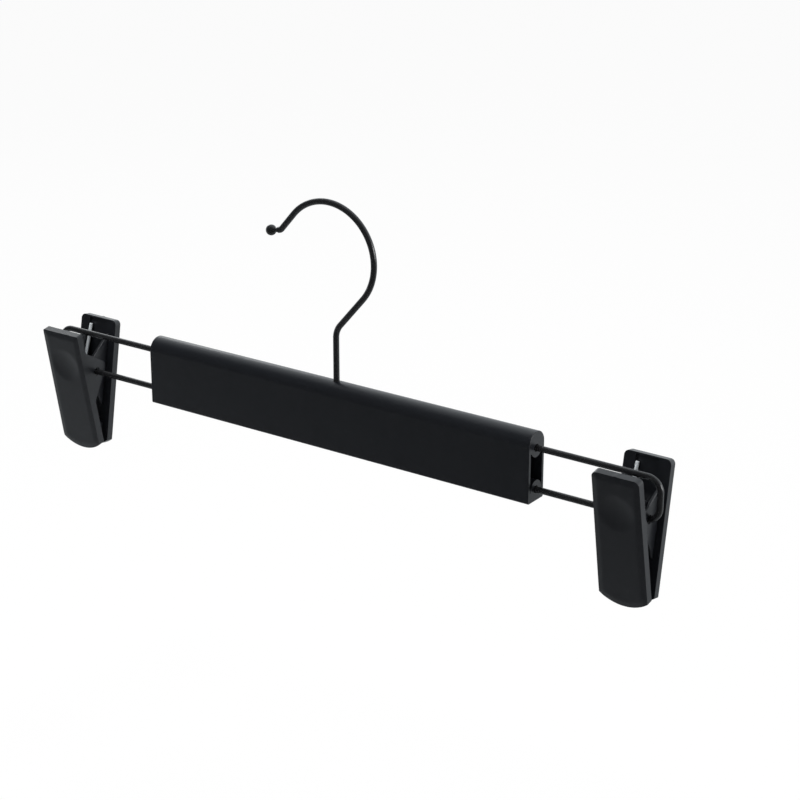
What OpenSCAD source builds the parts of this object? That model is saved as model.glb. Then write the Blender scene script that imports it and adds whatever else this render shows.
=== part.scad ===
// Skirt hanger: a moulded bar with a round top, a swivel hook, and a sprung clip on a wire rod at each end.
// Sizes are in millimetres. X runs along the bar, Y from front to back and Z up.
// The origin is where the hook rests on a rail, on the upright line that the hook turns about.

/* [Bar] */
// Length of the moulded bar
bar_l = 225; // [200:1:250]
// Height of the bar
bar_h = 34; // [31:0.5:38]
// Thickness of the bar, which is also twice the radius of its round top
bar_t = 13; // [12:0.5:16]
// Wall of the bar
bar_wall = 1.6; // [1.2:0.1:2]
// Rounding of the bar's two bottom edges
bar_edge_r = 1; // [0.5:0.1:1.4]
// Length of the block that grips the rods at each end of the bar
grip_l = 30; // [24:1:36]
// Thickness of the web that closes the grip block on the inside
grip_web = 2; // [1.5:0.1:3]
// Radius of the bosses round the two rod holes
boss_r = 4.5; // [4:0.1:4.8]
// Width of the hub that the hook turns in
hub_l = 18; // [14:1:24]
// Depth of the hub below the top of the bar
hub_h = 20; // [17:0.5:22]

/* [Wire] */
// Thickness of the hook and rod wire
wire_d = 3; // [2.6:0.1:3.3]
// Radial clearance where a piece turns on a wire
turn_gap = 0.08; // [0.05:0.01:0.1]
// Radial squeeze where a wire is pressed into a piece
press = 0.02; // [0.01:0.01:0.04]

/* [Hook] */
// Radius of the hook's bend, to the middle of the wire
hook_r = 26.5; // [23:0.5:30]
// Height above the bar at which the stem's bend would have its corner
neck_h = 25.5; // [22:0.5:30]
// Radius of the bend above the stem
neck_r = 10; // [8:0.5:12]
// Slope of the hook's straight runs
hook_slope = 49; // [46:1:53]
// How far the middle of the bend stands off the stem's line
hook_lean = 4.2; // [3:0.1:5.4]
// Length of the straight run after the bend
tip_l = 12; // [10:0.5:15]
// Length from the last kink to the middle of the ball
tip_out = 5.9; // [5:0.1:7]
// Slope of that last run
tip_slope = 10; // [5:1:15]
// Diameter of the ball at the hook's tip
ball_d = 5.3; // [4.8:0.1:6]
// Diameter of the drawn neck behind the ball
ball_neck_d = 2.2; // [2:0.1:2.5]
// Diameter of the push nut under the hub
nut_d = 8; // [7:0.1:8.2]

/* [Rods] */
// Length of the whole hanger over the two rods
reach = 360; // [345:1:380]
// Depth of the rod's upper leg below the top of the bar
rod_drop = 8; // [7.5:0.1:9]
// Height of the rod's lower leg above the underside of the bar
rod_rise = 5.7; // [5.2:0.1:6.2]
// Radius of the rod's corners, to the middle of the wire
rod_r = 6.5; // [6:0.5:8]
// Length of each rod leg that the bar holds
rod_held = 25; // [20:0.5:25]
// How much deeper the right rod is pressed into the bar than the left one
right_deeper = 2.3; // [0:0.1:2.4]

/* [Clips] */
// Width of a jaw at its handle end
jaw_w = 23.8; // [22.5:0.1:25]
// Width of a jaw at its gripping end
grip_w = 25; // [24:0.1:26]
// Length of the handle above the rod
jaw_up = 26.5; // [24:0.5:28]
// Length of the jaw below the rod
jaw_down = 41.5; // [38:0.5:45]
// Radius of the curved gripping end
tip_r = 20; // [18:0.5:24]
// Thickness of a jaw at its rims
jaw_t = 4.4; // [3.6:0.1:4.8]
// Depth of the channel in a jaw's inner face
channel_d = 1; // [0.6:0.1:1.4]
// Lip left above the channel
channel_lip = 0.8; // [0.6:0.1:1.2]
// How far the channel reaches below the rod
channel_low = 26; // [24:0.5:27]
// Distance from the rod's middle to a jaw's inner face
jaw_off = 8.1; // [8:0.1:8.8]
// Lean of each jaw when the clip is shut
jaw_lean = 10.5; // [10:0.1:11]
// Reach of the outer ears from the middle of the clip
ear_out = 9; // [8.4:0.1:9.4]
// Thickness of an ear
ear_t = 1.4; // [1.3:0.1:1.5]
// Gap between an outer ear and an inner ear
ear_gap = 0.3; // [0.25:0.05:0.4]
// Radius of the ears' rounded nose
nose_r = 4.2; // [3.8:0.1:4.6]
// How far the nose's middle lies past the rod
nose_past = 2.6; // [2.2:0.1:2.9]
// How far the nose's middle lies above the rod
nose_up = 0.9; // [0.5:0.1:1.2]
// Height at which the outer ears' top edge meets the jaw
outer_root = 16.5; // [15:0.5:18]
// Height at which the inner ears' top edge meets the jaw
inner_root = 20.5; // [19:0.5:21]
// Depth at which the ears' lower edge meets the jaw
low_root = 21; // [19:0.5:22]
// Radius of the inner ears' bosses that carry the spring's coil
boss_carry_r = 3.3; // [3:0.1:3.4]
// Length of those bosses
boss_carry_l = 1.7; // [1.4:0.1:2]
// Depth of the wide mouth of the outer ears' holes
ear_sink = 0.8; // [0.7:0.1:0.9]
// Radius by which that mouth is wider than the wire
mouth_wide = 0.6; // [0.5:0.05:0.6]
// How far an outer ear's snug hole may stand over the start of the rod's bend
ear_over = 0.9; // [0.5:0.1:0.9]
// Radius of the round thumb dimple
dimple_r = 9; // [7:0.5:10]
// Depth of the thumb dimple
dimple_d = 0.9; // [0.5:0.1:1.2]
// Height of the dimple's middle above the rod
dimple_up = 8; // [6:0.5:10]
// Width of the sloping border round a jaw's outer face
border_w = 2.8; // [2:0.1:3.4]
// Fall of the sloping border
border_d = 0.6; // [0.3:0.1:0.9]
// Half width of the toothed pad
pad_w = 8.6; // [7:0.1:9]
// Height of the pad's lowest tooth above the jaw's end
pad_up = 1.9; // [1.6:0.1:2.4]
// Spacing of the teeth
tooth_pitch = 2.2; // [2:0.1:2.2]
// Depth of the teeth
tooth_d = 0.8; // [0.5:0.1:0.9]
// Number of teeth on a pad
teeth = 5; // [4:1:6]
// Gap between the two rows of teeth when the clip is shut
bite = 0.3; // [0.2:0.05:0.5]

/* [Springs] */
// Thickness of the spring wire
spring_d = 1.8; // [1.4:0.1:1.9]
// Whole turns of the spring's coil
turns = 3; // [2:1:3]
// Radius of the coil, to the middle of its wire
coil_r = 4.8; // [4.7:0.1:5]
// Height on the handle at which the spring's arm ends
arm_up = 22.5; // [20:0.5:23]

/* [Hidden] */
$fn = 64;
wire_r = wire_d / 2;
// straight runs reach this far into the bends, which are drawn this much slimmer
lap = 0.3;
slim = 0.02;
// the hook's bend: its middle is hook_r to the left of the sloping run
run_l = (hook_r * sin(hook_slope) - hook_lean) / cos(hook_slope);
hook_z = neck_h + run_l * sin(hook_slope) + hook_r * cos(hook_slope);
seat = hook_z + sqrt(pow(hook_r - wire_r, 2) - pow(hook_lean, 2));
bar_z = -seat;
neck_cut = neck_r * tan((90 - hook_slope) / 2);
// the rods
rod_x = reach / 2 - wire_r;
upper_z = bar_z - rod_drop;
lower_z = bar_z - bar_h + rod_rise;
// the ears, and where a clip stops at the rod's bend
ear_in = ear_out - 2 * ear_t - ear_gap;
// radius of the jaws' upper corners: the left front jaw's are nearly square, the other three's round
square_corner = 0.8;
round_corner = 2.5;
// the ears' roots reach this far past the floor of the channel
root_past = 0.2;
stop_x = rod_x - rod_r - (ear_out - ear_sink) + ear_over;
left_x = -stop_x;
right_x = stop_x - right_deeper;
// the springs
spring_r = spring_d / 2;
coil_u = ear_in - 0.35 - spring_r;
arm_d = jaw_off + channel_d - 0.3 - spring_r;
arm_tilt = atan2(arm_d, arm_up) - asin(coil_r / norm([arm_d, arm_up]));
arm_lean = jaw_lean + arm_tilt;
arm_l = sqrt(pow(arm_d, 2) + pow(arm_up, 2) - pow(coil_r, 2));
sweep = 360 * turns + 180 - 2 * arm_lean;
coil_steps = ceil(sweep / 45);
arm_steps = 6;

// A bar-shaped section, drawn with its top at zero
module d_section(r, h, edge) {
  difference() {
    union() {
      translate([0, -r])
        circle(r = r);
      translate([-r, -h])
        square([2 * r, h - r]);
    }
    if (edge > 0)
      for (s = [-1, 1])
        difference() {
          translate([s * (r - edge / 2 + 0.5), -h + edge / 2 - 0.5])
            square(edge + 1, center = true);
          translate([s * (r - edge), -h + edge])
            circle(r = edge);
        }
  }
}

// A run of a section along the bar
module run_x(x0, x1) {
  translate([x0, 0, bar_z])
    rotate([90, 0, 90])
      linear_extrude(x1 - x0)
        children();
}

// The space between the two rod bosses, as seen at the bar's end
module end_cavity() {
  half = bar_t / 2 - bar_wall;
  difference() {
    translate([-half, -bar_h + rod_rise - 0.7])
      square([2 * half, bar_h - rod_rise + 0.7 - rod_drop - 2]);
    translate([0, -rod_drop])
      circle(r = boss_r);
    translate([0, -bar_h + rod_rise])
      circle(r = boss_r);
  }
}

module bar() {
  inner_r = bar_t / 2 - bar_wall;
  block_x = bar_l / 2 - grip_l;
  color([0.11, 0.11, 0.12])
    difference() {
      run_x(-bar_l / 2, bar_l / 2)
        d_section(bar_t / 2, bar_h, bar_edge_r);
      // the channel, open below
      difference() {
        run_x(-block_x, block_x)
          translate([0, -bar_wall])
            d_section(inner_r, bar_h, 0);
        translate([-hub_l / 2, -bar_t / 2, bar_z - hub_h])
          cube([hub_l, bar_t, hub_h]);
      }
      // the hole that the hook turns in
      translate([0, 0, bar_z - hub_h - 1])
        cylinder(r = wire_r + turn_gap, h = hub_h + 2);
      for (s = [-1, 1]) {
        run_x(s > 0 ? bar_l / 2 - grip_l + grip_web : -bar_l / 2 - 1,
          s > 0 ? bar_l / 2 + 1 : -bar_l / 2 + grip_l - grip_web)
          end_cavity();
        for (z = [upper_z, lower_z]) {
          translate([s * (bar_l / 2 - grip_l + grip_web), 0, z])
            rotate([0, s * 90, 0])
              cylinder(r = wire_r - press, h = grip_l);
          // the wider mouth of the hole
          translate([s * (bar_l / 2 - 2), 0, z])
            rotate([0, s * 90, 0])
              cylinder(r = wire_r + 0.35, h = 3);
        }
      }
    }
}

// One run of wire from a point towards an angle in the XZ plane, lapping into the bends at its ends
module wire_run(x, z, angle, l, r, lap0, lap1) {
  translate([x, 0, z])
    rotate([0, 90 - angle, 0])
      translate([0, 0, -lap0])
        cylinder(r = r, h = l + lap0 + lap1);
}

// A bend of wire in the XZ plane, round a middle, from one angle to a later one
module wire_bend(x, z, r, from, to) {
  translate([x, 0, z])
    rotate([90, 0, 0])
      rotate([0, 0, from])
        rotate_extrude(angle = to - from)
          translate([r, 0])
            circle(r = wire_r - slim);
}

module hook() {
  turn = 90 - hook_slope;
  neck_x = neck_cut * cos(hook_slope);
  neck_z = bar_z + neck_h + neck_cut * sin(hook_slope);
  end_x = -hook_lean - hook_r * sin(hook_slope);
  end_z = bar_z + hook_z + hook_r * cos(hook_slope);
  start_x = -hook_lean + hook_r * sin(hook_slope);
  start_z = bar_z + hook_z - hook_r * cos(hook_slope);
  kink_x = end_x - tip_l * cos(hook_slope);
  kink_z = end_z - tip_l * sin(hook_slope);
  color([0.13, 0.13, 0.14])
    union() {
      // the stem, from under the push nut to the neck
      translate([0, 0, bar_z - hub_h - 3.4])
        cylinder(r = wire_r, h = hub_h + 3.4 + neck_h - neck_cut + lap);
      wire_bend(neck_r, bar_z + neck_h - neck_cut, neck_r, 180 - turn, 180);
      wire_run(neck_x, neck_z, hook_slope, norm([start_x - neck_x, start_z - neck_z]), wire_r, lap, lap);
      wire_bend(-hook_lean, bar_z + hook_z, hook_r, hook_slope - 90, hook_slope + 90);
      wire_run(end_x, end_z, 180 + hook_slope, tip_l, wire_r, lap, 0);
      // the kink, the drawn neck and the ball
      translate([kink_x, 0, kink_z])
        sphere(r = wire_r + slim);
      wire_run(kink_x, kink_z, 180 + tip_slope, tip_out, ball_neck_d / 2, 0, 0);
      translate([kink_x - tip_out * cos(tip_slope), 0, kink_z - tip_out * sin(tip_slope)])
        sphere(r = ball_d / 2);
    }
}

module hook_push_nut() {
  color([0.62, 0.63, 0.65])
    translate([0, 0, bar_z - hub_h - 0.25])
      difference() {
        union() {
          translate([0, 0, -0.6])
            cylinder(r = nut_d / 2, h = 0.6);
          translate([0, 0, -1.4])
            cylinder(r1 = 2.1, r2 = 2.9, h = 0.9);
        }
        translate([0, 0, -3])
          cylinder(r = wire_r - press, h = 4);
        // the slots between the nut's gripping tongues
        for (a = [45, 135])
          rotate([0, 0, a])
            translate([-2.6, -0.25, -3])
              cube([5.2, 0.5, 4]);
      }
}

// A U-shaped rod, drawn at the right end of the bar
module rod() {
  leg_x = bar_l / 2 - rod_held;
  color([0.13, 0.13, 0.14])
    union() {
      for (z = [upper_z, lower_z])
        translate([leg_x, 0, z])
          rotate([0, 90, 0])
            cylinder(r = wire_r, h = rod_x - rod_r - leg_x + lap);
      wire_bend(rod_x - rod_r, upper_z - rod_r, rod_r, 0, 90);
      wire_bend(rod_x - rod_r, lower_z + rod_r, rod_r, -90, 0);
      translate([rod_x, 0, lower_z + rod_r - lap])
        cylinder(r = wire_r, h = upper_z - lower_z - 2 * rod_r + 2 * lap);
    }
}

module left_rod() {
  rotate([0, 0, 180])
    rod();
}

module right_rod() {
  translate([-right_deeper, 0, 0])
    rod();
}

// The outline of a jaw, with the rod at zero
module jaw_outline(corner) {
  difference() {
    intersection() {
      polygon([[-jaw_w / 2, jaw_up - 4], [-jaw_w / 2, jaw_up], [jaw_w / 2, jaw_up], [jaw_w / 2, jaw_up - 4],
        [grip_w / 2, -jaw_down], [-grip_w / 2, -jaw_down]]);
      union() {
        translate([0, tip_r - jaw_down])
          circle(r = tip_r, $fn = 128);
        translate([-grip_w, tip_r - jaw_down])
          square([2 * grip_w, jaw_up + jaw_down]);
      }
    }
    for (s = [-1, 1])
      difference() {
        translate([s * (jaw_w / 2 - corner / 2 + 0.5), jaw_up - corner / 2 + 0.5])
          square(corner + 1, center = true);
        translate([s * (jaw_w / 2 - corner), jaw_up - corner])
          circle(r = corner);
      }
  }
}

// A jaw's plate, upright, with its inner face towards the rod
module jaw_plate(corner) {
  ball = (pow(dimple_r, 2) + pow(dimple_d, 2)) / (2 * dimple_d);
  y0 = -jaw_off;
  y1 = -jaw_off - jaw_t;
  difference() {
    intersection() {
      translate([0, y0, 0])
        rotate([90, 0, 0])
          linear_extrude(jaw_t)
            jaw_outline(corner);
      // the sloping borders at the two long sides
      translate([0, 0, -jaw_down - 1])
        linear_extrude(jaw_up + jaw_down + 2)
          polygon([[-grip_w, y0 + 1], [-grip_w, y1 + border_d], [-grip_w / 2, y1 + border_d],
            [-grip_w / 2 + border_w, y1], [grip_w / 2 - border_w, y1], [grip_w / 2, y1 + border_d],
            [grip_w, y1 + border_d], [grip_w, y0 + 1]]);
      // the sloping borders at the two ends
      translate([-grip_w, 0, 0])
        rotate([90, 0, 90])
          linear_extrude(2 * grip_w)
            polygon([[y0 + 1, jaw_up + 1], [y1 + border_d, jaw_up + 1], [y1 + border_d, jaw_up],
              [y1, jaw_up - border_w], [y1, -jaw_down + border_w + 1], [y1 + border_d, -jaw_down],
              [y1 + border_d, -jaw_down - 1], [y0 + 1, -jaw_down - 1]]);
    }
    // the thumb dimple
    translate([0, y1 - ball + dimple_d, dimple_up])
      sphere(r = ball, $fn = 160);
    // the channel in the inner face
    translate([-ear_in, y0 - channel_d, -channel_low])
      cube([2 * ear_in, channel_d + 1, channel_low + jaw_up - channel_lip]);
  }
}

// The side view of an ear, with the rod at zero and the plate on the left
module ear_side(root_up) {
  root_y = -jaw_off - channel_d - root_past;
  to_top = [root_y - nose_past, root_up - nose_up];
  to_low = [root_y - nose_past, -low_root - nose_up];
  a = atan2(to_top[1], to_top[0]) - acos(nose_r / norm(to_top));
  b = atan2(to_low[1], to_low[0]) + acos(nose_r / norm(to_low));
  union() {
    translate([nose_past, nose_up])
      circle(r = nose_r);
    polygon([[root_y, root_up], [nose_past + nose_r * cos(a), nose_up + nose_r * sin(a)],
      [nose_past + nose_r * cos(b), nose_up + nose_r * sin(b)], [root_y, -low_root]]);
  }
}

// The two ears of a jaw, whose outer faces are at u from the middle
module ears(u, root_up, sink, boss) {
  for (s = [-1, 1])
    difference() {
      union() {
        translate([s > 0 ? u - ear_t : -u, 0, 0])
          rotate([90, 0, 90])
            linear_extrude(ear_t)
              ear_side(root_up);
        // the boss that carries the coil
        if (boss > 0)
          translate([s * (u - ear_t + 0.2), 0, 0])
            rotate([0, -s * 90, 0])
              cylinder(r = boss_carry_r, h = boss + 0.2);
      }
      translate([-u - 1, 0, 0])
        rotate([0, 90, 0])
          cylinder(r = wire_r + turn_gap, h = 2 * u + 2);
      if (sink > 0)
        translate([s * (u - sink), 0, 0])
          rotate([0, s * 90, 0])
            cylinder(r = wire_r + mouth_wide, h = sink + 1);
    }
}

// The toothed pad, upright, from inside the plate to the bite
module pad() {
  z0 = -jaw_down + pad_up;
  tip_y = -bite / 2;
  deep_y = tip_y - tooth_d;
  z1 = z0 + teeth * tooth_pitch;
  function face_y(z) = -(jaw_off + z * sin(jaw_lean)) / cos(jaw_lean) - 0.6;
  points = concat(
    [[face_y(z1), z1], [face_y(z0), z0]],
    [for (i = [0:teeth - 1]) for (k = [0:3])
      [k == 1 || k == 2 ? tip_y : deep_y, z0 + tooth_pitch * (i + [0, 0.25, 0.7, 0.95][k])]],
    [[deep_y, z1]]);
  translate([-pad_w, 0, 0])
    rotate([90, 0, 90])
      linear_extrude(2 * pad_w)
        polygon(points);
}

// The jaw with outer ears, as a front jaw
module outer_eared_jaw(corner) {
  color([0.10, 0.10, 0.11])
    union() {
      rotate([jaw_lean, 0, 0]) {
        jaw_plate(corner);
        ears(ear_out, outer_root, ear_sink, 0);
      }
      pad();
    }
}

// The jaw with inner ears, as a front jaw
module inner_eared_jaw() {
  color([0.10, 0.10, 0.11])
    union() {
      rotate([jaw_lean, 0, 0]) {
        jaw_plate(round_corner);
        ears(ear_out - ear_t - ear_gap, inner_root, 0, boss_carry_l);
      }
      pad();
    }
}

module left_front_jaw() {
  translate([left_x, 0, lower_z])
    outer_eared_jaw(square_corner);
}

module left_back_jaw() {
  translate([left_x, 0, lower_z])
    rotate([0, 0, 180])
      inner_eared_jaw();
}

module right_front_jaw() {
  translate([right_x, 0, lower_z])
    inner_eared_jaw();
}

module right_back_jaw() {
  translate([right_x, 0, lower_z])
    rotate([0, 0, 180])
      outer_eared_jaw(round_corner);
}

// The spring's path: back arm down, coil along the rod, front arm up
function coil_at(t) = -arm_lean - sweep * t;
function coil_point(t) = [coil_u * (2 * t - 1), coil_r * cos(coil_at(t)), coil_r * sin(coil_at(t))];
function round_dir(a) = [0, cos(a), sin(a)];
function back_point(t) = coil_point(0) + arm_l * t * [0, sin(arm_lean), cos(arm_lean)];
function front_point(t) = coil_point(1) + arm_l * t * [0, -sin(arm_lean), cos(arm_lean)];
path = concat(
  [for (i = [arm_steps:-1:1]) back_point(i / arm_steps)],
  [for (i = [0:coil_steps]) coil_point(i / coil_steps)],
  [for (i = [1:arm_steps]) front_point(i / arm_steps)]);
outward = concat(
  [for (i = [arm_steps:-1:1]) round_dir(coil_at(0))],
  [for (i = [0:coil_steps]) round_dir(coil_at(i / coil_steps))],
  [for (i = [1:arm_steps]) round_dir(coil_at(1))]);
along = [for (i = [0:len(path) - 1])
  let (d = path[min(i + 1, len(path) - 1)] - path[max(i - 1, 0)]) d / norm(d)];
sides = 6;
rings = [for (i = [0:len(path) - 1]) for (k = [0:sides - 1])
  let (n0 = outward[i] - (outward[i] * along[i]) * along[i], n = n0 / norm(n0), b = cross(along[i], n))
  path[i] + spring_r * (cos(360 * k / sides) * n + sin(360 * k / sides) * b)];
last = len(path) - 1;
walls = [for (i = [0:last - 1]) for (k = [0:sides - 1]) for (h = [0, 1])
  let (a = i * sides + k, b = i * sides + (k + 1) % sides)
  h == 0 ? [a, a + sides, b + sides] : [a, b + sides, b]];
caps = [for (k = [1:sides - 2]) for (h = [0, 1])
  h == 0 ? [0, k, k + 1] : [last * sides, last * sides + k + 1, last * sides + k]];
self_gap = min([for (i = [0:last - 6]) for (j = [i + 6:last]) norm(path[i] - path[j])]) - spring_d;
echo(spring_turns = sweep / 360, least_gap_of_spring_to_itself = self_gap);

module spring() {
  color([0.75, 0.76, 0.78])
    polyhedron(points = rings, faces = concat(walls, caps));
}

module left_spring() {
  translate([left_x, 0, lower_z])
    spring();
}

module right_spring() {
  translate([right_x, 0, lower_z])
    spring();
}

bar();
hook();
hook_push_nut();
left_rod();
right_rod();
left_front_jaw();
left_back_jaw();
left_spring();
right_front_jaw();
right_back_jaw();
right_spring();
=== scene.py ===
import bpy
import bmesh
import math
from mathutils import Matrix, Vector


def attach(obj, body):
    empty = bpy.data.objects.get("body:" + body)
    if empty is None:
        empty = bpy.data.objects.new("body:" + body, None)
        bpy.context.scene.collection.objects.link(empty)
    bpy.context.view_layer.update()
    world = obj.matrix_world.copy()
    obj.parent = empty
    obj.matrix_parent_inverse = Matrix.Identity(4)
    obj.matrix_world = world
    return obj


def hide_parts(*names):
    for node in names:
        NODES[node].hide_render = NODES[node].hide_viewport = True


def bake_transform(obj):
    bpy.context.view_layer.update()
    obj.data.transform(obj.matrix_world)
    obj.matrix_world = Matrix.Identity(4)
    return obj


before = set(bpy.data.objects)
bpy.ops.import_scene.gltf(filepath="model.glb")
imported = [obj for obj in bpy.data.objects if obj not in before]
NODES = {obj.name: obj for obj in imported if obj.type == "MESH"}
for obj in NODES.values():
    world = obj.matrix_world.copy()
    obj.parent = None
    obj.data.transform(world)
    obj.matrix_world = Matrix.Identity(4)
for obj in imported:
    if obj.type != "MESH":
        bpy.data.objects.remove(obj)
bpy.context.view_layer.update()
MM = 0.001

# sizes in millimetres, the same as in the part's source
BAR_L, BAR_H, BAR_T, BAR_WALL = 225.0, 34.0, 13.0, 1.6
GRIP_L, GRIP_WEB, BOSS_R, HUB_L, HUB_H = 30.0, 2.0, 4.5, 18.0, 20.0
BAR_EDGE, BAR_END_EDGE, HOLE_GAP, HOLE_MOUTH = 1.0, 0.25, 0.02, 0.35
WIRE_R, TURN_GAP, STEM_BELOW = 1.5, 0.08, 3.05
HOOK_R, NECK_H, NECK_R, HOOK_SLOPE, HOOK_LEAN = 26.5, 25.5, 10.0, 49.0, 4.2
TIP_L, TIP_OUT, TIP_SLOPE, BALL_R, BALL_NECK_R = 12.0, 5.9, 10.0, 2.65, 1.1
KINK_CUT, DRAW_FROM, DRAW_L, DRAW_SCALE = 1.0, 0.3, 0.5, 0.86
ROD_DROP, ROD_RISE, ROD_R, ROD_X, ROD_HELD, RIGHT_DEEPER = 8.0, 5.7, 6.5, 178.5, 25.0, 2.3
JAW_W, GRIP_W, JAW_UP, JAW_DOWN, TIP_R, JAW_T = 23.8, 25.0, 26.5, 41.5, 20.0, 4.4
SHOULDER, SQUARE_CORNER, ROUND_CORNER, PLATE_EDGE = 4.0, 0.8, 2.5, 0.25
CHANNEL_D, CHANNEL_LIP, CHANNEL_LOW, JAW_OFF, JAW_LEAN = 1.0, 0.8, 26.0, 8.1, 10.5
EAR_OUT, EAR_T, EAR_GAP, EAR_SINK, EAR_OVER, MOUTH_WIDE = 9.0, 1.4, 0.3, 0.8, 0.9, 0.6
EAR_EDGE, EAR_HOLE_EDGE, ROOT_PAST = 0.45, 0.2, 0.2
NOSE_R, NOSE_PAST, NOSE_UP, LOW_ROOT, OUTER_ROOT, INNER_ROOT = 4.2, 2.6, 0.9, 21.0, 16.5, 20.5
COIL_BOSS_R, COIL_BOSS_L = 3.3, 1.7
DIMPLE_R, DIMPLE_D, DIMPLE_UP, BORDER_W, BORDER_D = 9.0, 0.9, 8.0, 2.8, 0.6
GATE_UP, GATE_W = 0.22, 0.9
SINK_D, SINK_W, SINK_L, SINK_DOWN = 0.10, 5.5, 3.2, 35.0
PAD_W, PAD_UP, TEETH, TOOTH_PITCH, TOOTH_D, BITE = 8.6, 1.9, 5, 2.2, 0.8, 0.3
SPRING_R, TURNS, COIL_R, ARM_UP = 0.9, 3, 4.8, 22.5
COIL_CLEAR, ARM_CLEAR, ARM_ROUND = 0.35, 0.3, 0.25

# places worked out from them
EAR_IN = EAR_OUT - 2 * EAR_T - EAR_GAP
BORE_MOUTH_R = WIRE_R + MOUTH_WIDE
STOP_X = ROD_X - ROD_R - (EAR_OUT - EAR_SINK) + EAR_OVER
LEFT_X, RIGHT_X = -STOP_X, STOP_X - RIGHT_DEEPER
COIL_U = EAR_IN - COIL_CLEAR - SPRING_R
SLOPE = math.radians(HOOK_SLOPE)
HOOK_UP = (NECK_H + (HOOK_R * math.sin(SLOPE) - HOOK_LEAN) * math.tan(SLOPE) + HOOK_R * math.cos(SLOPE))
BAR_TOP = -HOOK_UP - math.sqrt((HOOK_R - WIRE_R) ** 2 - HOOK_LEAN ** 2)
UPPER_Z, LOWER_Z = BAR_TOP - ROD_DROP, BAR_TOP - BAR_H + ROD_RISE
LEAN = math.radians(JAW_LEAN)
ROUND = 64


# mesh helpers

def add_piece(name, bm, material, place=Matrix.Identity(4), crease=32):
    """Put a mesh drawn in millimetres into the scene, with its place in its mesh."""
    bmesh.ops.remove_doubles(bm, verts=bm.verts, dist=0.0005)
    bmesh.ops.recalc_face_normals(bm, faces=bm.faces)
    bmesh.ops.transform(bm, matrix=Matrix.Diagonal((MM, MM, MM, 1)) @ place, verts=bm.verts)
    mesh = bpy.data.meshes.new(name)
    bm.to_mesh(mesh)
    bm.free()
    mesh.polygons.foreach_set("use_smooth", [True] * len(mesh.polygons))
    mesh.set_sharp_from_angle(angle=math.radians(crease))
    mesh.materials.append(material)
    obj = bpy.data.objects.new(name, mesh)
    bpy.context.scene.collection.objects.link(obj)
    weighted = obj.modifiers.new("even_shading", "WEIGHTED_NORMAL")
    weighted.keep_sharp = True
    weighted.weight = 100
    return obj


def next_loop(bm, edges, place):
    """Carry a closed loop of edges on to new points, each placed by a function of its old point."""
    made = bmesh.ops.extrude_edge_only(bm, edges=edges)["geom"]
    for v in verts_of(made):
        v.co = place(v.co.copy())
    return edges_of(made)


def bevel_sharp(bm, width, segments=3, angle=30, keep=lambda e: True):
    edges = [e for e in bm.edges if len(e.link_faces) == 2 and keep(e)
             and e.calc_face_angle(0) > math.radians(angle)]
    bmesh.ops.bevel(bm, geom=edges, offset=width, offset_type="OFFSET", segments=segments, profile=0.5,
                    affect="EDGES", clamp_overlap=True, material=-1)


def mesh_object(name, bm):
    mesh = bpy.data.meshes.new(name)
    bm.to_mesh(mesh)
    bm.free()
    obj = bpy.data.objects.new(name, mesh)
    bpy.context.scene.collection.objects.link(obj)
    return obj


def merge_into(bm, own, name):
    """Add one drawn mesh to another, as its own closed shell."""
    mesh = bpy.data.meshes.new(name)
    own.to_mesh(mesh)
    own.free()
    bm.from_mesh(mesh)
    bpy.data.meshes.remove(mesh)


def verts_of(made):
    return [v for v in made if isinstance(v, bmesh.types.BMVert)]


def edges_of(made):
    return [e for e in made if isinstance(e, bmesh.types.BMEdge)]


def cut(obj, *cutters):
    """Cut solids out of a solid, one after another."""
    for c in cutters:
        mod = obj.modifiers.new("cut", "BOOLEAN")
        mod.operation = "DIFFERENCE"
        mod.solver = "EXACT"
        mod.object = c
        bpy.context.view_layer.update()
        shape = obj.evaluated_get(bpy.context.evaluated_depsgraph_get())
        result = bpy.data.meshes.new_from_object(shape)
        obj.modifiers.clear()
        old = obj.data
        obj.data = result
        bpy.data.meshes.remove(old)
        bpy.data.objects.remove(c)
    return obj


def box_bm(lo, hi):
    bm = bmesh.new()
    bmesh.ops.create_cube(bm, size=1)
    lo, hi = Vector(lo), Vector(hi)
    bmesh.ops.scale(bm, vec=hi - lo, verts=bm.verts)
    bmesh.ops.translate(bm, vec=(lo + hi) / 2, verts=bm.verts)
    return bm


def rod_bm(at, direction, r, l, segments=ROUND):
    """A round solid from a point along a direction."""
    bm = bmesh.new()
    turn = Vector((0, 0, 1)).rotation_difference(Vector(direction)).to_matrix().to_4x4()
    bmesh.ops.create_cone(bm, segments=segments, cap_ends=True, radius1=r, radius2=r, depth=l,
                          matrix=Matrix.Translation(at) @ turn @ Matrix.Translation((0, 0, l / 2)))
    return bm


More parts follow.
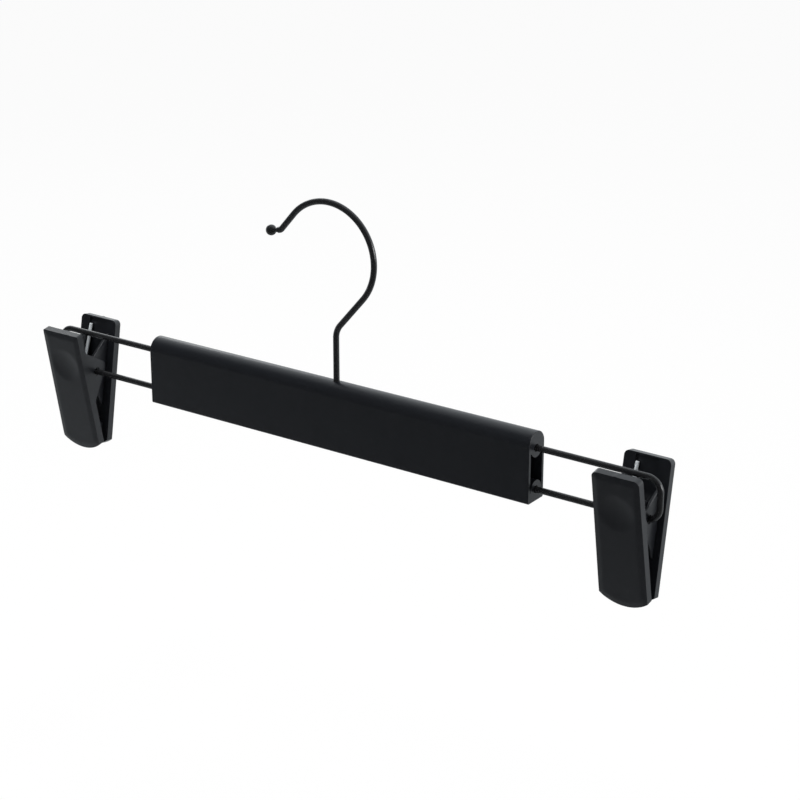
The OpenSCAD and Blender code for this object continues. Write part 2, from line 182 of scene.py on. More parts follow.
def d_section_bm(x0, x1, r, top, bottom, edge=0.0):
    """A length of the bar's section: a round top, flat sides and two lightly rounded lower edges."""
    bm = bmesh.new()
    start = bm.verts.new((x0, r, top - r))
    bmesh.ops.spin(bm, geom=[start], cent=(x0, 0, top - r), axis=(1, 0, 0), angle=math.pi, steps=ROUND // 2,
                   use_merge=False, use_duplicate=False)
    bm.verts.ensure_lookup_table()
    ends = [min(bm.verts, key=lambda v: v.co.y), max(bm.verts, key=lambda v: v.co.y)]
    feet = []
    for v in ends:
        low = bmesh.ops.extrude_vert_indiv(bm, verts=[v])["verts"][0]
        low.co.z = bottom
        feet.append(low)
    bm.edges.new(feet)
    face = bmesh.ops.contextual_create(bm, geom=bm.edges)["faces"][0]
    made = bmesh.ops.extrude_face_region(bm, geom=[face])["geom"]
    bmesh.ops.translate(bm, vec=(x1 - x0, 0, 0), verts=verts_of(made))
    if edge > 0:
        low = [e for e in bm.edges if all(abs(v.co.z - bottom) < 1e-4 for v in e.verts)
               and abs(e.verts[0].co.x - e.verts[1].co.x) > 1]
        bmesh.ops.bevel(bm, geom=low, offset=edge, segments=6, profile=0.5, affect="EDGES", material=-1)
    bmesh.ops.recalc_face_normals(bm, faces=bm.faces)
    return bm


# shader groups

def group(name, inputs, outputs):
    """A shader group of plain values, with its input and output nodes."""
    g = bpy.data.node_groups.new(name, "ShaderNodeTree")
    for n, value in inputs.items():
        g.interface.new_socket(name=n, in_out="INPUT", socket_type="NodeSocketFloat").default_value = value
    for n in outputs:
        g.interface.new_socket(name=n, in_out="OUTPUT", socket_type="NodeSocketFloat")
    return g, g.nodes.new("NodeGroupInput"), g.nodes.new("NodeGroupOutput")


def node(tree, kind, **values):
    n = tree.nodes.new(kind)
    for k, v in values.items():
        if hasattr(n, k):
            setattr(n, k, v)
        else:
            n.inputs[k.replace("_", " ").title()].default_value = v
    return n


def math_node(tree, operation, a, b):
    n = tree.nodes.new("ShaderNodeMath")
    n.operation = operation
    for i, x in enumerate((a, b)):
        if isinstance(x, (int, float)):
            n.inputs[i].default_value = x
        else:
            tree.links.new(x, n.inputs[i])
    return n.outputs[0]


def surface_grain():
    """Fine grain of a moulded or coated skin, with slow drifts of gloss: a height and a roughness."""
    g, gi, go = group("surface_grain",
                      {"Grain Size": 0.0004, "Drift Size": 0.02, "Roughness": 0.4, "Drift": 0.06},
                      ("Height", "Roughness"))
    co = node(g, "ShaderNodeTexCoord")
    fine = node(g, "ShaderNodeTexNoise", detail=2.0)
    slow = node(g, "ShaderNodeTexNoise", detail=3.0)
    g.links.new(co.outputs["Object"], fine.inputs["Vector"])
    g.links.new(co.outputs["Object"], slow.inputs["Vector"])
    g.links.new(math_node(g, "DIVIDE", 1.0, gi.outputs["Grain Size"]), fine.inputs["Scale"])
    g.links.new(math_node(g, "DIVIDE", 1.0, gi.outputs["Drift Size"]), slow.inputs["Scale"])
    g.links.new(fine.outputs["Fac"], go.inputs["Height"])
    off = math_node(g, "SUBTRACT", slow.outputs["Fac"], 0.5)
    amount = math_node(g, "MULTIPLY", off, gi.outputs["Drift"])
    g.links.new(math_node(g, "ADD", gi.outputs["Roughness"], math_node(g, "MULTIPLY", amount, 2.0)),
                go.inputs["Roughness"])
    return g


def scuffs():
    """Short fine rubbing marks, as a mask."""
    g, gi, go = group("scuffs", {"Size": 0.003, "Amount": 0.3}, ("Mask",))
    co = node(g, "ShaderNodeTexCoord")
    stretch = node(g, "ShaderNodeMapping")
    stretch.inputs["Scale"].default_value = (0.35, 1.0, 3.0)
    stretch.inputs["Rotation"].default_value = (0.3, 0.2, 0.5)
    n = node(g, "ShaderNodeTexNoise", detail=4.0)
    g.links.new(co.outputs["Object"], stretch.inputs["Vector"])
    g.links.new(stretch.outputs["Vector"], n.inputs["Vector"])
    g.links.new(math_node(g, "DIVIDE", 1.0, gi.outputs["Size"]), n.inputs["Scale"])
    over = math_node(g, "SUBTRACT", n.outputs["Fac"], 0.62)
    sharp = node(g, "ShaderNodeMath", operation="MULTIPLY", use_clamp=True)
    g.links.new(over, sharp.inputs[0])
    sharp.inputs[1].default_value = 9.0
    g.links.new(math_node(g, "MULTIPLY", sharp.outputs[0], gi.outputs["Amount"]), go.inputs["Mask"])
    return g


GRAIN, SCUFFS = surface_grain(), scuffs()
DRIFT_MM, SCUFF_MM, GRAIN_HIGH_MM = 18, 3.5, 0.06


def new_material(name):
    m = bpy.data.materials.new(name)
    m.use_nodes = True
    tree = m.node_tree
    tree.nodes.clear()
    out = tree.nodes.new("ShaderNodeOutputMaterial")
    shader = tree.nodes.new("ShaderNodeBsdfPrincipled")
    tree.links.new(shader.outputs["BSDF"], out.inputs["Surface"])
    return m, tree, shader


def skin(name, dark, light, roughness, grain_mm, bump, specular, drift=0.05, metallic=0.0, scuff=0.25):
    """A finish with grain, slow gloss drift, and scuffs in a lighter tone."""
    m, tree, shader = new_material(name)
    grain = tree.nodes.new("ShaderNodeGroup")
    grain.node_tree = GRAIN
    grain.inputs["Grain Size"].default_value = grain_mm * MM
    grain.inputs["Drift Size"].default_value = DRIFT_MM * MM
    grain.inputs["Roughness"].default_value = roughness
    grain.inputs["Drift"].default_value = drift
    marks = tree.nodes.new("ShaderNodeGroup")
    marks.node_tree = SCUFFS
    marks.inputs["Size"].default_value = SCUFF_MM * MM
    marks.inputs["Amount"].default_value = scuff
    tone = node(tree, "ShaderNodeMix", data_type="RGBA")
    tone.inputs["A"].default_value = (*dark, 1)
    tone.inputs["B"].default_value = (*light, 1)
    tree.links.new(marks.outputs["Mask"], tone.inputs["Factor"])
    tree.links.new(tone.outputs["Result"], shader.inputs["Base Color"])
    tree.links.new(grain.outputs["Roughness"], shader.inputs["Roughness"])
    b = node(tree, "ShaderNodeBump")
    b.inputs["Strength"].default_value = bump
    b.inputs["Distance"].default_value = GRAIN_HIGH_MM * MM
    tree.links.new(grain.outputs["Height"], b.inputs["Height"])
    tree.links.new(b.outputs["Normal"], shader.inputs["Normal"])
    shader.inputs["Metallic"].default_value = metallic
    shader.inputs["Specular IOR Level"].default_value = specular
    return m


BAR_PLASTIC = skin("bar_plastic", (0.0100, 0.0112, 0.0140), (0.017, 0.019, 0.023),
                   roughness=0.32, grain_mm=0.35, bump=0.25, specular=0.5)
JAW_PLASTIC = skin("jaw_plastic", (0.0105, 0.0117, 0.0145), (0.018, 0.020, 0.023),
                   roughness=0.32, grain_mm=0.30, bump=0.30, specular=0.5)
BLACK_WIRE = skin("black_wire", (0.0125, 0.0128, 0.0140), (0.020, 0.021, 0.022),
                  roughness=0.26, grain_mm=0.25, bump=0.03, specular=0.6, drift=0.03, scuff=0.08)
SPRING_ZINC = skin("spring_zinc", (0.88, 0.93, 0.96), (0.76, 0.80, 0.83),
                   roughness=0.36, grain_mm=0.30, bump=0.10, specular=0.5,
                   drift=0.06, metallic=0.25, scuff=0.5)
NUT_STEEL = skin("nut_steel", (0.50, 0.50, 0.52), (0.38, 0.38, 0.40),
                 roughness=0.32, grain_mm=0.30, bump=0.15, specular=0.5,
                 drift=0.08, metallic=1.0, scuff=0.5)


# the bar

def build_bar():
    half = BAR_T / 2
    blank = d_section_bm(-BAR_L / 2, BAR_L / 2, half, BAR_TOP, BAR_TOP - BAR_H, BAR_EDGE)
    # the end outlines are rounded before the cuts, so that every run gives the same mesh
    bevel_sharp(blank, BAR_END_EDGE, 3, 60)
    bar = mesh_object("bar_blank", blank)
    block_x = BAR_L / 2 - GRIP_L
    inner = half - BAR_WALL
    for s in (-1, 1):
        near, far = sorted((s * HUB_L / 2, s * block_x))
        channel = d_section_bm(near, far, inner, BAR_TOP - BAR_WALL, BAR_TOP - BAR_H - 1)
        cut(bar, mesh_object("channel", channel))
    # under the hub the channel runs through
    cut(bar, mesh_object("under_hub", box_bm((-HUB_L / 2 - 0.01, -inner, BAR_TOP - BAR_H - 1),
                                             (HUB_L / 2 + 0.01, inner, BAR_TOP - HUB_H))))
    stem_hole = rod_bm((0, 0, BAR_TOP - HUB_H - 1), (0, 0, 1), WIRE_R + TURN_GAP, HUB_H + 2)
    cut(bar, mesh_object("stem_hole", stem_hole))
    for s in (-1, 1):
        web_x = BAR_L / 2 - GRIP_L + GRIP_WEB
        x0, x1 = sorted((s * web_x, s * (BAR_L / 2 + 1)))
        pocket = mesh_object("pocket", box_bm((x0, -inner, LOWER_Z - 0.7), (x1, inner, UPPER_Z - 2)))
        for z in (UPPER_Z, LOWER_Z):
            cut(pocket, mesh_object("boss", rod_bm((x0 - 1, 0, z), (1, 0, 0), BOSS_R, x1 - x0 + 2)))
        cut(bar, pocket)
        for z in (UPPER_Z, LOWER_Z):
            hole = rod_bm((s * web_x, 0, z), (s, 0, 0), WIRE_R + HOLE_GAP, GRIP_L)
            mouth = rod_bm((s * (BAR_L / 2 - 2), 0, z), (s, 0, 0), WIRE_R + HOLE_MOUTH, 3)
            cut(bar, mesh_object("grip_hole", hole), mesh_object("hole_mouth", mouth))
    bm = bmesh.new()
    bm.from_mesh(bar.data)
    bpy.data.objects.remove(bar)
    bmesh.ops.remove_doubles(bm, verts=bm.verts, dist=0.001)
    bmesh.ops.dissolve_limit(bm, angle_limit=math.radians(0.5), verts=bm.verts, edges=bm.edges)
    obj = add_piece("bar_moulding", bm, BAR_PLASTIC, crease=40)
    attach(obj, "bar")
    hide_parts("bar")


# wires

class Wire:
    """A round wire drawn by pushing its end ring along straights and round bends."""

    def __init__(self, at, along, r, sides=24):
        self.bm = bmesh.new()
        self.at = Vector(at)
        self.along = Vector(along).normalized()
        self.r = r
        turn = Vector((0, 0, 1)).rotation_difference(self.along).to_matrix().to_4x4()
        made = bmesh.ops.create_circle(self.bm, segments=sides, radius=r, cap_ends=False,
                                       matrix=Matrix.Translation(self.at) @ turn)["verts"]
        self.ring = list({e for v in made for e in v.link_edges})

    def verts(self):
        return list({v for e in self.ring for v in e.verts})

    def push(self, l, scale=1.0):
        made = bmesh.ops.extrude_edge_only(self.bm, edges=self.ring)["geom"]
        self.ring = edges_of(made)
        bmesh.ops.translate(self.bm, vec=self.along * l, verts=self.verts())
        self.at += self.along * l
        if scale != 1.0:
            bmesh.ops.scale(self.bm, vec=(scale, scale, scale), space=Matrix.Translation(-self.at),
                            verts=self.verts())
            self.r *= scale

    def bend(self, cent, axis, degrees, steps, pitch=0.0):
        """Turn about an axis through a middle, creeping along the axis by a pitch for each whole turn."""
        axis = Vector(axis).normalized()
        creep = axis * (pitch * degrees / 360 / steps)
        spun = bmesh.ops.spin(self.bm, geom=self.ring, cent=cent, axis=axis, dvec=creep,
                              angle=math.radians(degrees), steps=steps, use_merge=False,
                              use_duplicate=False)["geom_last"]
        self.ring = edges_of(spun)
        turn = Matrix.Rotation(math.radians(degrees), 3, axis)
        self.at = Vector(cent) + turn @ (self.at - Vector(cent)) + creep * steps
        self.along = turn @ self.along

    def close(self):
        bmesh.ops.holes_fill(self.bm, edges=[e for e in self.bm.edges if len(e.link_faces) == 1], sides=0)
        return self.bm

    def rounded_end(self, round_r):
        full = self.r
        for k in range(3):
            last, a = math.radians(30 * k), math.radians(30 * (k + 1))
            want = full - round_r * (1 - math.cos(a))
            self.push(round_r * (math.sin(a) - math.sin(last)), want / self.r)


def build_hook():
    turn = 90 - HOOK_SLOPE
    neck_cut = NECK_R * math.tan(math.radians(turn) / 2)
    c, s = math.cos(SLOPE), math.sin(SLOPE)
    stem_foot = BAR_TOP - HUB_H - STEM_BELOW
    w = Wire((0, 0, stem_foot), (0, 0, 1), WIRE_R, 28)
    w.push(BAR_TOP + NECK_H - neck_cut - stem_foot)
    w.bend((NECK_R, 0, w.at.z), (0, 1, 0), turn, 10)
    centre = Vector((-HOOK_LEAN, 0, BAR_TOP + HOOK_UP))
    start = centre + HOOK_R * Vector((s, 0, -c))
    w.push((start - w.at).length)
    w.bend(centre, (0, 1, 0), -180, 60)
    w.push(TIP_L - KINK_CUT)
    kink = HOOK_SLOPE - TIP_SLOPE
    side = w.along.cross(Vector((0, 1, 0)))
    kink_r = KINK_CUT / math.tan(math.radians(kink) / 2)
    away = side if side.z > 0 else -side
    w.bend(w.at + away * kink_r, (0, 1, 0), kink, 8)
    # the drawn neck and the ball
    w.push(DRAW_FROM)
    w.push(DRAW_L, DRAW_SCALE)
    w.push(DRAW_L, BALL_NECK_R / w.r)
    reach = TIP_OUT - KINK_CUT - DRAW_FROM - 2 * DRAW_L
    meet = math.sqrt(BALL_R ** 2 - BALL_NECK_R ** 2)
    w.push(reach - meet)
    steps = 14
    a0 = math.asin(BALL_NECK_R / BALL_R)
    for k in range(1, steps):
        a = a0 + (math.pi - a0) * k / steps
        last = a0 + (math.pi - a0) * (k - 1) / steps
        w.push(BALL_R * (math.cos(last) - math.cos(a)), BALL_R * math.sin(a) / w.r)
    obj = add_piece("hook_wire", w.close(), BLACK_WIRE, crease=50)
    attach(obj, "hook")
    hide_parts("hook")


def build_rod(name, side):
    leg_x = BAR_L / 2 - ROD_HELD
    w = Wire((leg_x, 0, UPPER_Z), (1, 0, 0), WIRE_R, 28)
    w.push(ROD_X - ROD_R - leg_x)
    w.bend((ROD_X - ROD_R, 0, UPPER_Z - ROD_R), (0, 1, 0), 90, 18)
    w.push(UPPER_Z - LOWER_Z - 2 * ROD_R)
    w.bend((ROD_X - ROD_R, 0, LOWER_Z + ROD_R), (0, 1, 0), 90, 18)
    w.push(ROD_X - ROD_R - leg_x)
    place = Matrix.Rotation(math.pi, 4, "Z") if side < 0 else Matrix.Translation((-RIGHT_DEEPER, 0, 0))
    obj = add_piece(name + "_wire", w.close(), BLACK_WIRE, place, crease=50)
    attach(obj, "bar")
    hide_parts(name)


# springs

def build_spring(side, x):
    """Two halves from the middle of the coil, one towards each jaw."""
    arm_d = JAW_OFF + CHANNEL_D - ARM_CLEAR - SPRING_R
    tilt = math.degrees(math.atan2(arm_d, ARM_UP) - math.asin(COIL_R / math.hypot(arm_d, ARM_UP)))
    arm_l = math.sqrt(arm_d ** 2 + ARM_UP ** 2 - COIL_R ** 2)
    sweep = 360 * TURNS + 180 - 2 * (JAW_LEAN + tilt)
    half = sweep / 2
    pitch = 2 * COIL_U / (sweep / 360)
    even = (-1) ** TURNS
    for jaw, sign in (("front", 1), ("back", -1)):
        # from the coil's middle, which is above the rod where the whole turns are odd
        w = Wire((0, 0, -even * COIL_R), (0, -even * sign, 0), SPRING_R, 14)
        w.bend((0, 0, 0), (sign, 0, 0), -half, int(half / 12), -pitch)
        w.push(arm_l - ARM_ROUND)
        w.rounded_end(ARM_ROUND)
        obj = add_piece("%s_spring_%s_half" % (side, jaw), w.close(), SPRING_ZINC,
                        Matrix.Translation((x, 0, LOWER_Z)), crease=50)
        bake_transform(obj)
        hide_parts(side + "_spring")


# jaws

def jaw_half_width(z):
    top = JAW_UP - SHOULDER
    if z > top:
        return JAW_W / 2
    return JAW_W / 2 + (GRIP_W - JAW_W) / 2 * (top - z) / (top + JAW_DOWN)


def jaw_top(x, corner):
    over = abs(x) - (JAW_W / 2 - corner)
    return JAW_UP if over <= 0 else JAW_UP - corner + math.sqrt(max(corner ** 2 - over ** 2, 0))


def jaw_bottom(x):
    return TIP_R - JAW_DOWN - math.sqrt(TIP_R ** 2 - x ** 2)


def relief(x, z):
    """How far the outer face lies behind its highest plane."""
    side = 1 - (jaw_half_width(z) - abs(x)) / BORDER_W
    top = 1 - (JAW_UP - z) / BORDER_W
    tip = 1 - (TIP_R - math.hypot(x, min(z - TIP_R + JAW_DOWN, 0))) / BORDER_W
    fall = BORDER_D * min(1.15, (max(side, 0) ** 3 + max(top, 0) ** 3 + max(tip, 0) ** 3) ** (1 / 3))
    q = math.hypot(x, z - DIMPLE_UP) / DIMPLE_R
    bowl = DIMPLE_D * (1 - q * q) if q < 1 else 0.0
    # the bowl's lip is eased over a short way
    ease = 0.12
    if 1 - ease < q < 1 + ease:
        k = (1 + ease - q) / (2 * ease)
        bowl = DIMPLE_D * (1 - (1 - ease) ** 2) * k * k
    # a faint shrink mark over the pad
    sink = SINK_D * math.exp(-((x / SINK_W) ** 2 + ((z + SINK_DOWN) / SINK_L) ** 2))
    return fall + bowl + sink


def plate_bm(corner, gate):
    """A jaw's plate from a grid, thick, with its relief, its channel and rounded edges."""
    nx, ny = 44, 92
    bm = bmesh.new()
    bmesh.ops.create_grid(bm, x_segments=nx, y_segments=ny, size=1)
    inner_cols, low_rows, top_rows = 22, 22, 4

    def place(co):
        c, j = round((co.x + 1) / 2 * nx) - nx / 2, round((co.y + 1) / 2 * ny)
        edge_cols = (nx - inner_cols) / 2
        out = max(abs(c) - inner_cols / 2, 0) / edge_cols
        out = math.sin(out * math.pi / 2)
        sign = 1 if c > 0 else -1

        def x_at(z):
            if out == 0:
                return c / (inner_cols / 2) * EAR_IN
            return sign * (EAR_IN + (jaw_half_width(z) - EAR_IN) * out)

        z = 0.0
        for _ in range(4):
            x = x_at(z)
            low, high = jaw_bottom(x), jaw_top(x, corner)
            lip = high - CHANNEL_LIP
            if j <= low_rows:
                z = low + (-CHANNEL_LOW - low) * math.sin(j / low_rows * math.pi / 2)
            elif j >= ny - top_rows:
                z = lip + (high - lip) * (j - ny + top_rows) / top_rows
            else:
                z = -CHANNEL_LOW + (lip + CHANNEL_LOW) * (j - low_rows) / (ny - low_rows - top_rows)
        return Vector((x_at(z), 0, z))

    for v in bm.verts:
        v.co = place(v.co)
    made = bmesh.ops.extrude_face_region(bm, geom=list(bm.faces))["geom"]
    back = [f for f in made if isinstance(f, bmesh.types.BMFace)]
    back_verts = {v for f in back for v in f.verts}
    for v in bm.verts:
        if v in back_verts:
            v.co.y = -JAW_OFF
        else:
            v.co.y = -JAW_OFF - JAW_T + relief(v.co.x, v.co.z)
    if gate:
        # the mould's gate left a small bump on the top edge
        for v in bm.verts:
            if v.co.z > JAW_UP - GATE_W and abs(v.co.x) < 3 and v.co.y < -JAW_OFF - 0.2:
                rise = GATE_UP * math.exp(-(v.co.x / GATE_W) ** 2)
                v.co.z += rise * (v.co.z - JAW_UP + GATE_W) / GATE_W
    channel = []
    for f in back:
        m = f.calc_center_median()
        if abs(m.x) < EAR_IN - 0.01 and -CHANNEL_LOW < m.z < JAW_UP - CHANNEL_LIP:
            channel.append(f)
    made = bmesh.ops.extrude_face_region(bm, geom=channel)["geom"]
    bmesh.ops.translate(bm, vec=(0, -CHANNEL_D, 0), verts=verts_of(made))
    bmesh.ops.delete(bm, geom=[f for f in channel if f.is_valid], context="FACES")
    bmesh.ops.recalc_face_normals(bm, faces=bm.faces)
    bevel_sharp(bm, PLATE_EDGE, 3, 40)
    return bm


def ear_outline(root_up):
    """The ear's edge as a function of the angle round the rod, and its two corners at the plate."""
    root_y = -JAW_OFF - CHANNEL_D - ROOT_PAST
    centre = Vector((NOSE_PAST, NOSE_UP))

    def tangent(corner, sign):
        to = corner - centre
        a = math.atan2(to.y, to.x) - sign * math.acos(NOSE_R / to.length)
        return centre + NOSE_R * Vector((math.cos(a), math.sin(a)))

    top, low = Vector((root_y, root_up)), Vector((root_y, -LOW_ROOT))
    t_top, t_low = tangent(top, 1), tangent(low, -1)

    def hit(d):
        """Where a ray from the rod's middle leaves the ear."""
        best = None
        for a, b in ((top, t_top), (t_low, low), (low, top)):
            e = b - a
            det = d.x * -e.y + d.y * e.x
            if abs(det) < 1e-9:
                continue
            t = (a.x * -e.y + a.y * e.x) / det
            k = (d.x * a.y - d.y * a.x) / det
            if t > 0 and -1e-6 <= k <= 1 + 1e-6:
                best = t if best is None else min(best, t)
        if best is None:
            m = d.dot(centre)
            best = m + math.sqrt(m * m - centre.length_squared + NOSE_R ** 2)
        return d * best

    return hit, top, low


def add_ear(bm, side, u, root_up, sink, boss):
    """One ear, walked round its section: up the bore, over its outer face, round its edge and back."""
    hit, top, low = ear_outline(root_up)
    outer, inner = side * u, side * (u - EAR_T)
    bore, tip = WIRE_R + TURN_GAP, side * (u - EAR_T - boss)
    own = bmesh.new()
    turn = Matrix(((0, 0, 1), (1, 0, 0), (0, 1, 0))).to_4x4()
    ring = bmesh.ops.create_circle(own, segments=96, radius=bore, cap_ends=False,
                                   matrix=Matrix.Translation((tip, 0, 0)) @ turn)["verts"]
    angles = {round(math.degrees(math.atan2(v.co.z, v.co.y)), 2) for v in ring}
    corners = []
    for c in (top, low):
        a = math.degrees(math.atan2(c.y, c.x))
        corners.append((min(angles, key=lambda b: abs((a - b + 180) % 360 - 180)), c))
    edges = list({e for v in ring for e in v.link_edges})
    first = edges

    def round_at(x, r):
        return lambda co: Vector((x, *(Vector((co.y, co.z)).normalized() * r)))

    def edge_at(x):
        def place(co):
            a = round(math.degrees(math.atan2(co.z, co.y)), 2)
            for b, c in corners:
                if abs(a - b) < 0.05:
                    return Vector((x, c.x, c.y))
            return Vector((x, *hit(Vector((co.y, co.z)).normalized())))
        return place

    if sink > 0:
        edges = next_loop(own, edges, round_at(side * (u - sink), bore))
        edges = next_loop(own, edges, round_at(side * (u - sink), bore + MOUTH_WIDE))
        edges = next_loop(own, edges, round_at(outer, BORE_MOUTH_R))
    else:
        edges = next_loop(own, edges, round_at(outer, bore))
    edges = next_loop(own, edges, edge_at(outer))
    edges = next_loop(own, edges, lambda co: Vector((inner, co.y, co.z)))
    if boss > 0:
        edges = next_loop(own, edges, round_at(inner, COIL_BOSS_R))
        edges = next_loop(own, edges, round_at(tip, COIL_BOSS_R))
    bmesh.ops.bridge_loops(own, edges=edges + first)
    bmesh.ops.recalc_face_normals(own, faces=own.faces)
    hole_r = max(BORE_MOUTH_R, COIL_BOSS_R) + 0.1

    def from_rod(e):
        return [math.hypot(v.co.y, v.co.z) for v in e.verts]

    # the outline is rounded more than the hole, and the root inside the plate not at all
    bevel_sharp(own, EAR_EDGE, 4, 40, lambda e: hole_r < min(from_rod(e))
                and max(abs(v.co.y) for v in e.verts) < JAW_OFF + 0.5)
    bevel_sharp(own, EAR_HOLE_EDGE, 2, 40, lambda e: hole_r > max(from_rod(e)))
    merge_into(bm, own, "ear")


def add_pad(bm):
    """The toothed pad, drawn upright and leaned back into the plate's own frame."""
    z0 = -JAW_DOWN + PAD_UP
    tip_y, deep_y = -BITE / 2, -BITE / 2 - TOOTH_D

    def back_y(z):
        return -(JAW_OFF + z * math.sin(LEAN)) / math.cos(LEAN) - 0.6

    z1 = z0 + TEETH * TOOTH_PITCH
    points = [(back_y(z1), z1), (back_y(z0), z0)]
    for i in range(TEETH):
        for k, y in ((0, deep_y), (0.25, tip_y), (0.7, tip_y), (0.95, deep_y)):
            points.append((y, z0 + TOOTH_PITCH * (i + k)))
    points.append((deep_y, z1))
    own = bmesh.new()
    face = own.faces.new([own.verts.new((-PAD_W, y, z)) for y, z in points])
    made = bmesh.ops.extrude_face_region(own, geom=[face])["geom"]
    bmesh.ops.translate(own, vec=(2 * PAD_W, 0, 0), verts=verts_of(made))
    bmesh.ops.recalc_face_normals(own, faces=own.faces)
    bevel_sharp(own, 0.1, 2, 30)
    bmesh.ops.rotate(own, cent=(0, 0, 0), matrix=Matrix.Rotation(-LEAN, 3, "X"), verts=own.verts)
    merge_into(bm, own, "pad")


def build_jaw(side, place_name, x, outer_eared, corner=ROUND_CORNER):
    bm = plate_bm(corner, not outer_eared)
    for s in (-1, 1):
        if outer_eared:
            add_ear(bm, s, EAR_OUT, OUTER_ROOT, EAR_SINK, 0)
        else:
            add_ear(bm, s, EAR_IN + EAR_T, INNER_ROOT, 0, COIL_BOSS_L)
    add_pad(bm)
    turn = Matrix.Rotation(math.pi, 4, "Z") if place_name == "back" else Matrix.Identity(4)
    place = Matrix.Translation((x, 0, LOWER_Z)) @ turn @ Matrix.Rotation(LEAN, 4, "X")
    name = "%s_%s_jaw" % (side, place_name)
    obj = add_piece(name + "_moulding", bm, JAW_PLASTIC, place, crease=40)
    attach(obj, name)
    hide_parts(name)


build_bar()
build_hook()
build_rod("left_rod", -1)
build_rod("right_rod", 1)
build_jaw("left", "front", LEFT_X, True, SQUARE_CORNER)
build_jaw("left", "back", LEFT_X, False)
build_jaw("right", "front", RIGHT_X, False)
build_jaw("right", "back", RIGHT_X, True)
build_spring("left", LEFT_X)
build_spring("right", RIGHT_X)
for material, names in (
        (BAR_PLASTIC, ("bar",)), (BLACK_WIRE, ("hook", "left_rod", "right_rod")),
        (NUT_STEEL, ("hook_push_nut",)), (SPRING_ZINC, ("left_spring", "right_spring")),
        (JAW_PLASTIC, ("left_front_jaw", "left_back_jaw", "right_front_jaw", "right_back_jaw"))):
    for name in names:
        NODES[name].data.materials.clear()
        NODES[name].data.materials.append(material)


# stage

def graded(tree, vector, direction, low, high, stops):
    """A level that runs along a direction through its stops, of which the first two are the ends."""
    lean = node(tree, "ShaderNodeVectorMath", operation="DOT_PRODUCT")
    lean.inputs[1].default_value = direction
    tree.links.new(vector, lean.inputs[0])
    span = node(tree, "ShaderNodeMapRange", clamp=True)
    span.inputs["From Min"].default_value = low
    span.inputs["From Max"].default_value = high
    tree.links.new(lean.outputs["Value"], span.inputs["Value"])
    tint = tree.nodes.new("ShaderNodeValToRGB")
    ramp = tint.color_ramp
    for at, _ in stops[2:]:
        ramp.elements.new(at)
    for element, (at, level) in zip(ramp.elements, sorted(stops)):
        element.position = at
        element.color = (level * 0.92, level * 0.97, level, 1)
    tree.links.new(span.outputs["Result"], tint.inputs["Fac"])
    return tint.outputs["Color"]


def by_ray(tree, light, gloss, camera, share=1.0):
    """One shader as light, another in reflections, and a third for the camera by its share."""
    path = tree.nodes.new("ShaderNodeLightPath")
    glossy, passing = path.outputs["Is Glossy Ray"], path.outputs["Is Transmission Ray"]
    in_gloss = math_node(tree, "MAXIMUM", glossy, passing)
    seen = math_node(tree, "MULTIPLY", path.outputs["Is Camera Ray"], share)
    shown = light
    for factor, other in ((in_gloss, gloss), (seen, camera)):
        mix = tree.nodes.new("ShaderNodeMixShader")
        tree.links.new(factor, mix.inputs[0])
        tree.links.new(shown, mix.inputs[1])
        tree.links.new(other, mix.inputs[2])
        shown = mix.outputs[0]
    return shown


def floor_material():
    """Pale floor: near white to the camera, graded from dark in front to white behind in reflections."""
    m, tree, shader = new_material("studio_floor")
    shader.inputs["Base Color"].default_value = (*[FLOOR_PALE] * 3, 1)
    shader.inputs["Roughness"].default_value = 0.9
    shader.inputs["Specular IOR Level"].default_value = 0.0
    co = tree.nodes.new("ShaderNodeTexCoord")
    glow = tree.nodes.new("ShaderNodeEmission")
    tree.links.new(graded(tree, co.outputs["Object"], (-0.4, 1.0, 0.0), -0.4, 0.6, FLOOR_STOPS),
                   glow.inputs["Color"])
    white = tree.nodes.new("ShaderNodeEmission")
    out = next(n for n in tree.nodes if n.type == "OUTPUT_MATERIAL")
    tree.links.new(by_ray(tree, shader.outputs["BSDF"], glow.outputs[0], white.outputs[0], FLOOR_WHITE),
                   out.inputs["Surface"])
    return m


def studio_world():
    """White to the camera, white behind and dark in front in reflections, plain grey as light."""
    world = bpy.data.worlds.new("studio")
    bpy.context.scene.world = world
    world.use_nodes = True
    tree = world.node_tree
    tree.nodes.clear()
    out = tree.nodes.new("ShaderNodeOutputWorld")
    co = tree.nodes.new("ShaderNodeTexCoord")
    backs = {}
    for key, strength in (("light", WORLD_LIGHT), ("gloss", 1.0), ("camera", 1.0)):
        backs[key] = tree.nodes.new("ShaderNodeBackground")
        backs[key].inputs["Strength"].default_value = strength
        backs[key].inputs["Color"].default_value = (1, 1, 1, 1)
    tree.links.new(graded(tree, co.outputs["Generated"], (0.0, 1.0, 0.25), -0.7, 0.85, WORLD_STOPS),
                   backs["gloss"].inputs["Color"])
    tree.links.new(by_ray(tree, *(b.outputs[0] for b in backs.values())), out.inputs["Surface"])


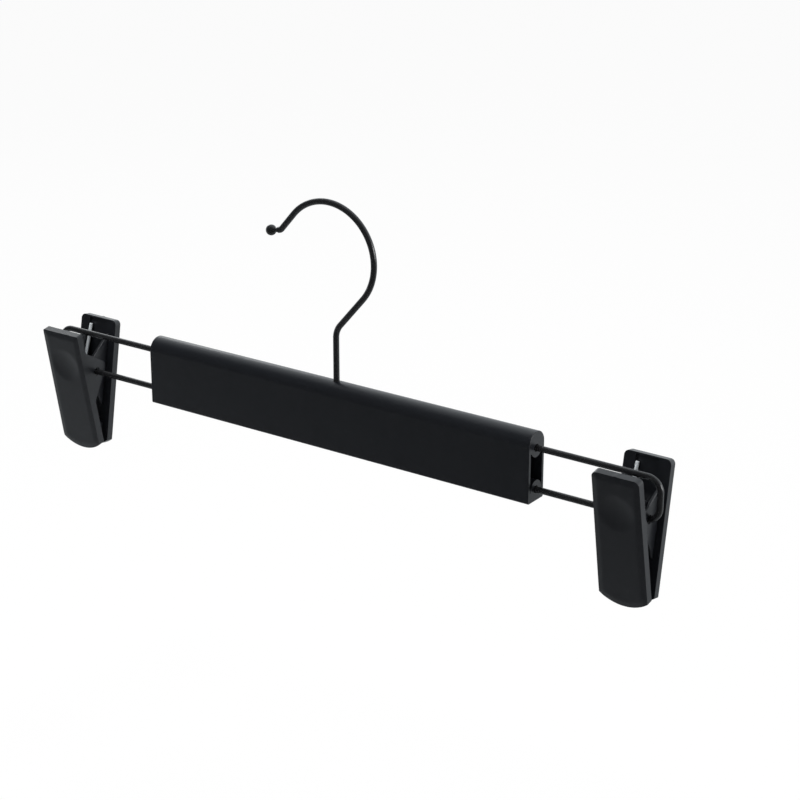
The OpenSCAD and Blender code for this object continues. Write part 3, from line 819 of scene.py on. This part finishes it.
FLOOR_Z, FLOOR_SIZE, FLOOR_PALE, FLOOR_WHITE, WORLD_LIGHT = -0.30, 14, 0.90, 0.94, 0.35
FLOOR_STOPS = ((0.08, 0.04), (1.0, 0.90), (0.18, 0.13), (0.32, 0.32), (0.65, 0.56))
WORLD_STOPS = ((0.0, 0.03), (1.0, 1.0), (0.40, 0.06), (0.50, 0.30), (0.62, 0.50), (0.85, 0.9))

bpy.ops.mesh.primitive_plane_add(size=FLOOR_SIZE, location=(0, 0, FLOOR_Z))
floor = bpy.context.object
floor.name = "floor"
floor.data.materials.append(floor_material())
studio_world()


def soft_light(name, at, to, size, power, in_gloss=True):
    data = bpy.data.lights.new(name, "AREA")
    data.shape = "RECTANGLE"
    data.size, data.size_y = size
    data.energy = power
    obj = bpy.data.objects.new(name, data)
    obj.location = at
    obj.visible_glossy = in_gloss
    obj.rotation_euler = (Vector(to) - Vector(at)).to_track_quat("-Z", "Y").to_euler()
    bpy.context.scene.collection.objects.link(obj)


soft_light("top_light", (-0.2, 0.05, 0.9), (0, 0, -0.1), (1.0, 0.35), 10, False)
soft_light("back_left_light", (-0.95, 0.75, 0.35), (-0.1, 0, -0.1), (0.5, 0.3), 1.0)
soft_light("right_light", (1.25, 0.35, 0.15), (0.1, 0, -0.1), (0.45, 0.45), 7)
soft_light("front_light", (-0.2, -1.4, 0.9), (0, 0, -0.1), (1.0, 0.8), 5, False)

# camera, as solved from the photo: degrees, millimetres, and the focal length in pixels
CAM_AZ, CAM_EL, CAM_D, CAM_F = 35.28, 20.92, 1029.40, 2199.44
CAM_TO = (37.03, 0, BAR_TOP - 1.61)
SENSOR, IMAGE = 36.0, 800.0
cam_data = bpy.data.cameras.new("camera")
cam_data.sensor_width = SENSOR
cam_data.lens = CAM_F * SENSOR / IMAGE
cam_data.clip_end = 20
cam = bpy.data.objects.new("camera", cam_data)
bpy.context.scene.collection.objects.link(cam)
az, el = math.radians(CAM_AZ), math.radians(CAM_EL)
view = Vector((-math.sin(az) * math.cos(el), math.cos(az) * math.cos(el), -math.sin(el)))
cam.location = (Vector(CAM_TO) - view * CAM_D) * MM
cam.rotation_euler = view.to_track_quat("-Z", "Y").to_euler()
bpy.context.scene.camera = cam

bpy.context.scene.view_settings.view_transform = "Standard"
